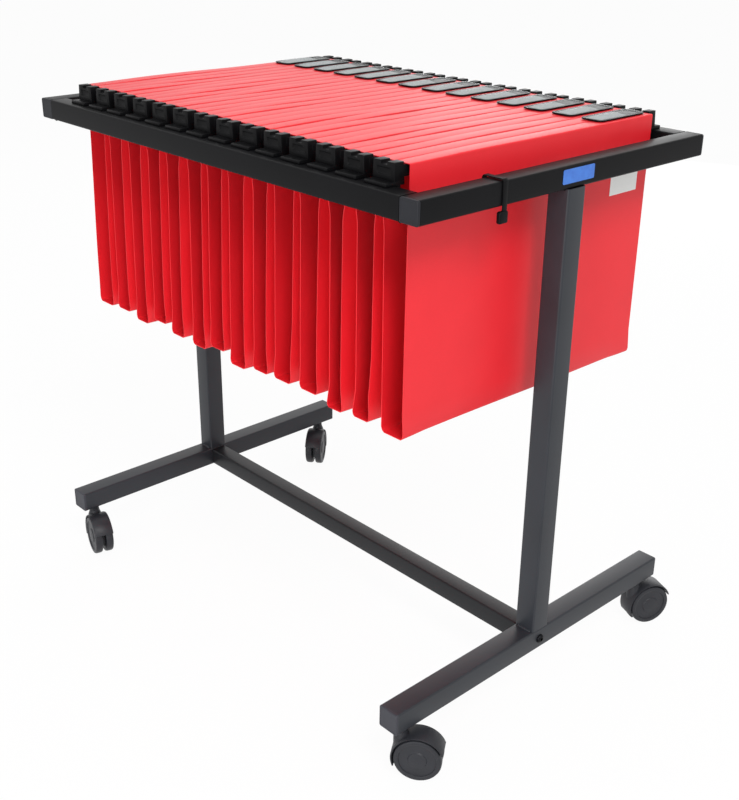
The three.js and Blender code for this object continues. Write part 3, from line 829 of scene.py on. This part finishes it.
def castor_body():
    """A hood over both wheels, a web and boss between them, and a neck and stem."""
    axle = Vector((TRAIL, 0, WHEEL_RADIUS))
    half = WEB / 2 + WHEEL_GAP + WHEEL_WIDTH
    hood = castor_hood(axle, half)
    web = castor_web(axle)
    boss = round_bar("castor_boss", BOSS_RADIUS, WEB, axle, Y)
    neck = castor_neck(axle, half)
    return joined([hood, web, boss, neck])


def castor_wheel():
    """A wheel with its inner face at y = 0: crowned tread, raised rim, dished face and hub cap."""
    bore_end = WHEEL_WIDTH - WHEEL_FACE
    profile = [(0, bore_end), (WHEEL_BORE, bore_end), (WHEEL_BORE, 0), (WHEEL_INNER_EDGE, 0)]
    profile += TREAD_EDGE
    profile += [(WHEEL_RADIUS, WHEEL_WIDTH / 2)]
    profile += [(radius, WHEEL_WIDTH - inset) for radius, inset in reversed(TREAD_EDGE)]
    profile += [(radius, WHEEL_WIDTH) for radius in RIM_RADII]
    profile += [(radius, WHEEL_WIDTH - depth) for radius, depth in DISH + HUB_CAP]
    profile += [(0, WHEEL_WIDTH)]
    points = [(radius, along, 0) for radius, along in profile]
    return turned("castor_wheel", points, (0, 0, 0), (0, 1, 0))


def castor_axle():
    """The pin through both wheels, with softened ends."""
    pin = round_bar("castor_axle", AXLE_RADIUS, AXLE_LENGTH, (0, 0, 0), Y, sides=32)
    return rounded(pin, AXLE_EDGE)


def castors():
    """Four castors from one pattern, each turned the way its wheels trail."""
    body, wheel, axle = castor_body(), castor_wheel(), castor_axle()
    inner = WEB / 2 + WHEEL_GAP
    for corner in CORNERS:
        place = castor_place(corner)
        at_axle = place @ Matrix.Translation((TRAIL, 0, WHEEL_RADIUS))
        node = f"castor_body_{corner}"
        finished(copied(body, f"{node}_moulding", place), NYLON, f"castor_{corner}", node)
        node = f"castor_axle_{corner}"
        finished(copied(axle, f"{node}_pin", at_axle), BRIGHT_PIN, f"castor_{corner}", node)
        for letter, turn in (("a", math.pi), ("b", 0)):
            node = f"castor_wheel_{letter}_{corner}"
            facing = at_axle @ Matrix.Rotation(turn, 4, "Z") @ Matrix.Translation((0, inner, 0))
            moulding = copied(wheel, f"{node}_moulding", facing)
            finished(moulding, NYLON, f"wheel_{letter}_{corner}", node)
    for pattern in (body, wheel, axle):
        thrown_away(pattern)


# Suspension files

TAB_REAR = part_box("file_card_01")[1].y - TAB_REAR_INSET
TAB_FRONT = TAB_REAR - TAB_LENGTH
TAB_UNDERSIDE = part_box("file_card_01")[1].z + TAB_LIFT
TAB_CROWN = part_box("file_hanger_01")[1].z


def arc(centre, radius, start, end, steps=4):
    """Points round part of a circle in X and Z, angles in degrees."""
    angles = [math.radians(start + (end - start) * i / steps) for i in range(steps + 1)]
    return [(centre[0] + radius * math.cos(a), centre[1] + radius * math.sin(a)) for a in angles]


def card_section(low, high):
    """Half a card's section about its middle, from a flap's tucked edge to the flat of the bottom."""
    half = (high.x - low.x) / 2 - CARD_THICKNESS / 2 + PANEL_BULGE
    top, bottom = high.z - CARD_THICKNESS / 2, low.z + CARD_THICKNESS / 2
    slit = CARD_SLIT / 2 + CARD_THICKNESS / 2
    points = [(slit, top - CARD_TUCK)]
    points += arc((slit + FLAP_ROUND, top - FLAP_DIP - FLAP_ROUND), FLAP_ROUND, 180, 90, 3)
    points += [(half / 2, top - FLAP_DIP / 3)]
    points += arc((half - PANEL_ROUND, top - PANEL_ROUND), PANEL_ROUND, 90, 0)
    panel_top, panel_foot = top - PANEL_ROUND, bottom + BOTTOM_FOLD
    shares = [step / PANEL_STEPS for step in range(1, PANEL_STEPS + 1)]
    drop = panel_foot - panel_top
    points += [(half - PANEL_LEAN * share, panel_top + drop * share) for share in shares]
    flat = BOTTOM_FLAT / 2
    points += [((half + flat) / 2, bottom + BOTTOM_FOLD / 3), (flat, bottom), (flat / 3, bottom)]
    return points


def card_sheet():
    """A card folded about x = 0, as a thin sheet from front to rear."""
    low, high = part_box(f"file_card_{FILES[0]}")
    half = card_section(low, high)
    around = half + [(-x, z) for x, z in reversed(half)]
    outline = [(x, low.y, z) for x, z in around]
    return swept("card_sheet", outline, (0, high.y - low.y, 0), CARD_LENGTH_STEPS)


def pulled(piece, test, way, reach):
    """Pulls what passes the test along a way, and the card around it ever less."""
    with picked(piece, "VERT", test):
        bpy.ops.transform.translate(
            value=way,
            use_proportional_edit=True,
            use_proportional_connected=True,
            proportional_edit_falloff="SMOOTH",
            proportional_size=reach,
        )


def warped(card, middle, low, high, sway, outside, chance):
    """Hangs a card as a used one hangs: ends drawn in, panels bellied, bottom swayed and uneven."""
    foot_z = low.z + BOTTOM_FOLD
    span = high.z - foot_z
    for side in (-1, 1):
        for end in (low.y, high.y):
            inward = -side * chance.uniform(*(EDGE_DRAW_OUTSIDE if side == outside else EDGE_DRAW))

            def at_edge(at, way):
                on_panel = (at.x - middle) * side > EDGE_FROM
                return on_panel and abs(at.y - end) < NEAR and at.z < high.z - EDGE_HELD

            def at_corner(at, way):
                return at_edge(at, way) and at.z < foot_z + NEAR

            pulled(card, at_edge, (inward, 0, 0), EDGE_REACH)
            if side != outside:
                further = -side * chance.uniform(0, CORNER_DRAW)
                pulled(card, at_corner, (further, 0, 0), CORNER_REACH)
        swelling = chance.uniform(low.y, TAB_FRONT - FLAP_REACH)

        def at_slit(at, way):
            on_flap = 0 < (at.x - middle) * side < FLAP_SWELL_WIDTH and at.z > high.z - CARD_TUCK
            return on_flap and abs(at.y - swelling) < FLAP_SWELL_HALF

        pulled(card, at_slit, (0, 0, chance.uniform(*FLAP_SWELL)), FLAP_REACH)
        belly = -side * chance.uniform(*BELLY)

        def at_belly(at, way):
            on_panel = (at.x - middle) * side > BELLY_FROM
            rise = at.z - foot_z - span * BELLY_RISE
            return on_panel and abs(at.y) < BELLY_HALF_LENGTH and abs(rise) < BELLY_HALF_HEIGHT

        pulled(card, at_belly, (belly, 0, 0), BELLY_REACH)
    for end in (low.y, high.y):
        swing = (sway + chance.uniform(*SWAY_SPREAD), 0, chance.uniform(*BOTTOM_RISE))

        def at_bottom(at, way):
            return at.z < foot_z + NEAR and abs(at.y - end) < BOTTOM_END

        pulled(card, at_bottom, swing, span)


def hook_end(sign):
    """The moulded end of a hanger: a plate on the rail, a lip inside it and two teeth."""
    low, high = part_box(f"file_hanger_{FILES[0]}")
    rail_low, rail_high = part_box("rail_rear")
    card_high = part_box(f"file_card_{FILES[0]}")[1]
    width = (high.x - low.x) / 2
    rail_top, outer = rail_high.z, high.y
    lip_out = rail_low.y - LIP_CLEARANCE
    lip_in = lip_out - LIP_THICKNESS
    inner = card_high.y + TOOTH_GAP
    lip_foot = rail_top - LIP_DEPTH
    plate = rail_top + HOOK_PLATE
    outline = [
        (lip_in, lip_foot + HOOK_CHAMFER),
        (lip_in + HOOK_CHAMFER, lip_foot),
        (lip_out - HOOK_CHAMFER, lip_foot),
        (lip_out, lip_foot + LIP_LEAD),
        (lip_out, rail_top),
        (outer, rail_top),
        (outer, plate - HOOK_CHAMFER),
        (outer - HOOK_CHAMFER, plate),
        (inner, plate),
        (inner, rail_top),
        (lip_in, rail_top),
    ]
    seat = prism(f"hook_seat_{sign}", [(-width, sign * y, z) for y, z in outline], (2 * width, 0, 0))
    front, back = sorted((sign * inner, sign * (inner + TOOTH_DEPTH)))
    foot_z, top = plate - JOIN, card_high.z + TOOTH_RISE
    upright = block(f"teeth_{sign}", (-width, front, foot_z), (width, back, top))
    crown = Vector((0, (front + back) / 2, top))
    with picked(upright, "FACE", lambda at, way: way.z > ALONG):
        bpy.ops.transform.resize(value=(TOOTH_TAPER, TOOTH_TAPER, 1), center_override=crown)
    with picked(upright, "FACE", lambda at, way: way.y * sign > ALONG / 2):
        bpy.ops.mesh.inset(thickness=TOOTH_RECESS_MARGIN)
        bpy.ops.mesh.inset(thickness=TOOTH_DRAFT, depth=-TOOTH_RECESS)
    half = TOOTH_NOTCH / 2
    notch_low = (-half, front - PAST, top - TOOTH_NOTCH_DEPTH)
    cut(upright, block("notch", notch_low, (half, back + PAST, top + PAST)))
    return [rounded(seat, HOOK_EDGE), rounded(upright, TOOTH_EDGE, TOOTH_EDGE_STEPS)]


def tab_base():
    """The black base of a label tab, with a raised rim."""
    half = TAB_WIDTH / 2
    low = (-half, TAB_FRONT, TAB_UNDERSIDE)
    base = block("tab_base", low, (half, TAB_REAR, TAB_UNDERSIDE + TAB_BASE))
    with picked(base, "EDGE", lambda at, way: abs(way.z) > ALONG):
        bpy.ops.mesh.bevel(offset=TAB_CORNER, segments=TAB_CORNER_STEPS, affect="EDGES")
    with picked(base, "FACE", lambda at, way: way.z > ALONG):
        bpy.ops.mesh.inset(thickness=TAB_RIM)
        bpy.ops.mesh.inset(thickness=TAB_DRAFT, depth=-TAB_FLOOR)
    return base


def hanger():
    """Two runners between hooked ends, with the black base of the label tab on its stem."""
    low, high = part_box(f"file_hanger_{FILES[0]}")
    width = (high.x - low.x) / 2
    foot_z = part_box("rail_rear")[1].z + RUNNER_FOOT
    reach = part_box(f"file_card_{FILES[0]}")[1].y + TOOTH_GAP + TOOTH_DEPTH / 2
    pieces = hook_end(-1) + hook_end(1)
    for side in (-1, 1):
        near, far = sorted((side * (width - RUNNER_THICKNESS), side * width))
        runner = block(f"runner_{side}", (near, -reach, foot_z), (far, reach, foot_z + RUNNER_HEIGHT))
        pieces.append(rounded(runner, RUNNER_EDGE))
    base = tab_base()
    middle = (TAB_FRONT + TAB_REAR) / 2
    stem_low = (-TAB_STEM / 2, middle - TAB_STEM_LENGTH / 2, foot_z + JOIN)
    stem_high = (TAB_STEM / 2, middle + TAB_STEM_LENGTH / 2, TAB_UNDERSIDE + JOIN)
    stem = rounded(block("tab_stem", stem_low, stem_high), TAB_STEM_EDGE)
    inside = width - RUNNER_THICKNESS + JOIN
    bridge_low = (-inside, middle - TAB_BRIDGE / 2, foot_z)
    bridge_high = (inside, middle + TAB_BRIDGE / 2, foot_z + TAB_BRIDGE)
    bridge = rounded(block("tab_bridge", bridge_low, bridge_high), RUNNER_EDGE)
    return joined([*pieces, base, stem, bridge])


def tab_dome(name, inset, thickness):
    """A domed strip along the tab with lowered ends, an inset inside the tab's outline."""
    half = TAB_WIDTH / 2 - inset
    foot_z = TAB_UNDERSIDE + TAB_BASE - TAB_FLOOR
    crown = TAB_CROWN - inset / 2 - thickness - foot_z
    shares = [2 * i / TAB_ARC_STEPS - 1 for i in range(TAB_ARC_STEPS + 1)]
    front, rear = TAB_FRONT + inset, TAB_REAR - inset
    points = [(half * s, front, foot_z + crown * (1 - s * s)) for s in shares]
    piece = swept(name, points, (0, rear - front, 0), TAB_LENGTH_STEPS)
    step = (rear - front) / TAB_LENGTH_STEPS
    for row, height in enumerate(TAB_END_HEIGHTS):
        for y in (front + row * step, rear - row * step):
            with picked(piece, "VERT", lambda at, way: abs(at.y - y) < step / 3):
                bpy.ops.transform.resize(value=(1, 1, height), center_override=(0, y, foot_z))
    return modified(piece, "SOLIDIFY", thickness=thickness, offset=0)


def files():
    """The row of files from one pattern, each card hung in its own way."""
    sheet, hung = card_sheet(), hanger()
    cover = tab_dome("tab_cover", TAB_COVER_INSET, TAB_COVER_WALL)
    insert = tab_dome("tab_insert", TAB_SLIP_INSET, TAB_SLIP_THICKNESS)
    chance, cutter = random.Random(WARP_SEED), random.Random(TAB_SLIP_SEED)
    to_front = Matrix.Translation((0, TAB_FRONT, 0))
    from_front = Matrix.Translation((0, -TAB_FRONT, 0))
    for number in FILES:
        node, body = f"file_card_{number}", f"file_{number}"
        low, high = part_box(node)
        centre = middle_of(low, high).x
        place = Matrix.Translation((centre, 0, 0))
        card = copied(sheet, f"{node}_sheet", place)
        sway = BOTTOM_SWAY * (1 - (int(number) / len(FILES)) ** SWAY_POWER)
        outside = {FILES[0]: -1, FILES[-1]: 1}.get(number, 0)
        warped(card, centre, low, high, sway, outside, chance)
        modified(card, "SOLIDIFY", thickness=CARD_THICKNESS, offset=0)
        finished(card, CARD, body, node)
        node = f"file_hanger_{number}"
        finished(copied(hung, f"{node}_moulding", place), HANGER_PLASTIC, body, node)
        shorter = Matrix.Scale(cutter.uniform(*TAB_SLIP_LENGTH), 4, (0, 1, 0))
        slip = place @ to_front @ shorter @ from_front
        # The slip's white paper is painted grey: painted shade
        finished(copied(insert, f"file_tab_insert_{number}", slip), SLIP_PAPER_PAINTED_SHADE, body)
        finished(copied(cover, f"file_tab_cover_{number}", place), CLEAR, body)
    for pattern in (sheet, hung, cover, insert):
        thrown_away(pattern)


# Labels


def end_bar_label():
    """The blue label stuck to the outside of the right end bar."""
    low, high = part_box("end_bar_right")
    front, rear = BAR_LABEL_SPAN
    under, over = BAR_LABEL_MARGINS
    from_corner = (high.x, front, low.z + under)
    to_corner = (high.x + LABEL_THICKNESS, rear, high.z - over)
    piece = block("end_bar_label", from_corner, to_corner)
    with picked(piece, "EDGE", lambda at, way: abs(way.x) > ALONG):
        bpy.ops.mesh.bevel(offset=BAR_LABEL_CORNER, segments=BAR_LABEL_CORNER_STEPS, affect="EDGES")
    finished(piece, BLUE, "frame")


def file_label():
    """The white label on the outside of the last file, laid onto its card."""
    card = bpy.data.objects[f"file_card_{FILES[-1]}_sheet"]
    start = max(corner[0] for corner in card.bound_box) + FILE_LABEL_CLEAR
    lower_edge = [(start, y, FILE_LABEL_FOOT) for y in FILE_LABEL_SPAN]
    piece = swept("file_label", lower_edge, (0, 0, FILE_LABEL_HEIGHT), FILE_LABEL_ROWS)
    with picked(piece, "EDGE", lambda at, way: abs(way.y) > ALONG):
        bpy.ops.mesh.subdivide(number_cuts=FILE_LABEL_COLUMNS - 1)
    modified(
        piece,
        "SHRINKWRAP",
        target=card,
        wrap_method="PROJECT",
        use_project_x=True,
        use_negative_direction=True,
        use_positive_direction=True,
        offset=LABEL_THICKNESS,
    )
    modified(piece, "SOLIDIFY", thickness=LABEL_THICKNESS, offset=0)
    finished(piece, PAPER, f"file_{FILES[-1]}")


def build_cart():
    """Every piece of the cart, the frame first."""
    for side in SIDES:
        end_bar(side)
        straight_tube(f"post_{side}", Z, LEG_COAT_PAINTED_LIGHT)
        foot(side)
        welds(side)
        stretcher_bolt(side)
    for end in ENDS:
        straight_tube(f"rail_{end}", X, COAT)
    straight_tube("stretcher", X, STRETCHER_COAT_PAINTED_SHADE)
    bar_clip()
    castors()
    files()
    end_bar_label()
    file_label()


# Stage, light and camera

CAMERA_PLACE = (945.5 * MM, -851.3 * MM, 831.9 * MM)
CAMERA_YAW = math.radians(47.014)
CAMERA_PITCH = math.radians(24.355)
CAMERA_ROLL = math.radians(0.634)
CAMERA_LENS = 52.04  # millimetres, over a 36 mm long side
FLOOR_SIZE = 40
FLOOR_GLOW = 0.95  # share of the floor's white that the shadow doesn't darken
ROOM_LIGHT = 0.5  # of the white room on the cart, where 1 is the white that is seen
LAMP_AIM = (0, 0, 0.4)
# Name, place, side in metres and watts of each lamp
LAMPS = (
    ("key", (1.9, -0.9, 2.6), 1.0, 48),
    ("fill", (0.9, -2.6, 0.6), 1.8, 46),
    ("top", (-0.4, 0.4, 2.8), 1.6, 8),
    ("back", (-1.9, 1.8, 1.7), 1.6, 5),
    ("rear", (-1.1, 2.4, 0.6), 1.8, 20),
)


def set_camera():
    """The camera at the photograph's place, looking down at the front right corner."""
    data = bpy.data.cameras.new("camera")
    data.lens = CAMERA_LENS
    camera = bpy.data.objects.new("camera", data)
    bpy.context.scene.collection.objects.link(camera)
    level = math.cos(CAMERA_PITCH)
    back = Vector((math.sin(CAMERA_YAW) * level, -math.cos(CAMERA_YAW) * level, math.sin(CAMERA_PITCH)))
    right = Vector((math.cos(CAMERA_YAW), math.sin(CAMERA_YAW), 0))
    up = back.cross(right)
    rolled_right = right * math.cos(CAMERA_ROLL) + up * math.sin(CAMERA_ROLL)
    rolled_up = up * math.cos(CAMERA_ROLL) - right * math.sin(CAMERA_ROLL)
    turn = Matrix((rolled_right, rolled_up, back)).transposed().to_4x4()
    camera.matrix_world = Matrix.Translation(CAMERA_PLACE) @ turn
    bpy.context.scene.camera = camera


def softbox(name, place, size, watts):
    """A square lamp aimed at the middle of the cart."""
    data = bpy.data.lights.new(name, "AREA")
    data.shape = "SQUARE"
    data.size = size
    data.energy = watts
    lamp = bpy.data.objects.new(name, data)
    bpy.context.scene.collection.objects.link(lamp)
    lamp.location = place
    lamp.rotation_euler = (Vector(LAMP_AIM) - Vector(place)).to_track_quat("-Z", "Y").to_euler()


def seen_directly(tree):
    """One where the camera sees a surface straight, in a reflection or through something clear."""
    path = add(tree, "ShaderNodeLightPath").outputs
    links = {0: path["Is Camera Ray"], 1: path["Is Glossy Ray"]}
    either = add(tree, "ShaderNodeMath", links=links, operation="MAXIMUM")
    links = {0: either.outputs[0], 1: path["Is Transmission Ray"]}
    return add(tree, "ShaderNodeMath", links=links, operation="MAXIMUM").outputs[0]


def set_floor():
    """A pale floor that keeps the cart's shadow."""
    deselect()
    bpy.ops.mesh.primitive_plane_add(size=FLOOR_SIZE)
    floor = named("floor")
    material = bpy.data.materials.new("floor_pale")
    material.use_nodes = True
    tree = material.node_tree
    tree.nodes.clear()
    matt = add(tree, "ShaderNodeBsdfDiffuse", {"Color": srgb("#f2f2f2")})
    glow = add(tree, "ShaderNodeEmission", {"Color": srgb("#ffffff")})
    seen = {"Value": seen_directly(tree)}
    share = add(tree, "ShaderNodeMapRange", {"To Min": 0, "To Max": FLOOR_GLOW}, seen)
    links = {0: share.outputs["Result"], 1: matt.outputs[0], 2: glow.outputs[0]}
    mixed = add(tree, "ShaderNodeMixShader", links=links)
    add(tree, "ShaderNodeOutputMaterial", links={"Surface": mixed.outputs[0]})
    floor.data.materials.append(material)


def set_room():
    """A white room, dimmer on the cart than it is seen, and the lamps in it."""
    world = bpy.data.worlds.new("room")
    bpy.context.scene.world = world
    world.use_nodes = True
    tree = world.node_tree
    tree.nodes.clear()
    seen = {"Value": seen_directly(tree)}
    level = add(tree, "ShaderNodeMapRange", {"To Min": ROOM_LIGHT, "To Max": 1}, seen)
    strength = {"Strength": level.outputs["Result"]}
    white = add(tree, "ShaderNodeBackground", {"Color": srgb("#ffffff")}, strength)
    add(tree, "ShaderNodeOutputWorld", links={"Surface": white.outputs[0]})
    for lamp in LAMPS:
        softbox(*lamp)


set_camera()
build_cart()
set_floor()
set_room()
bpy.context.scene.view_settings.view_transform = "Standard"
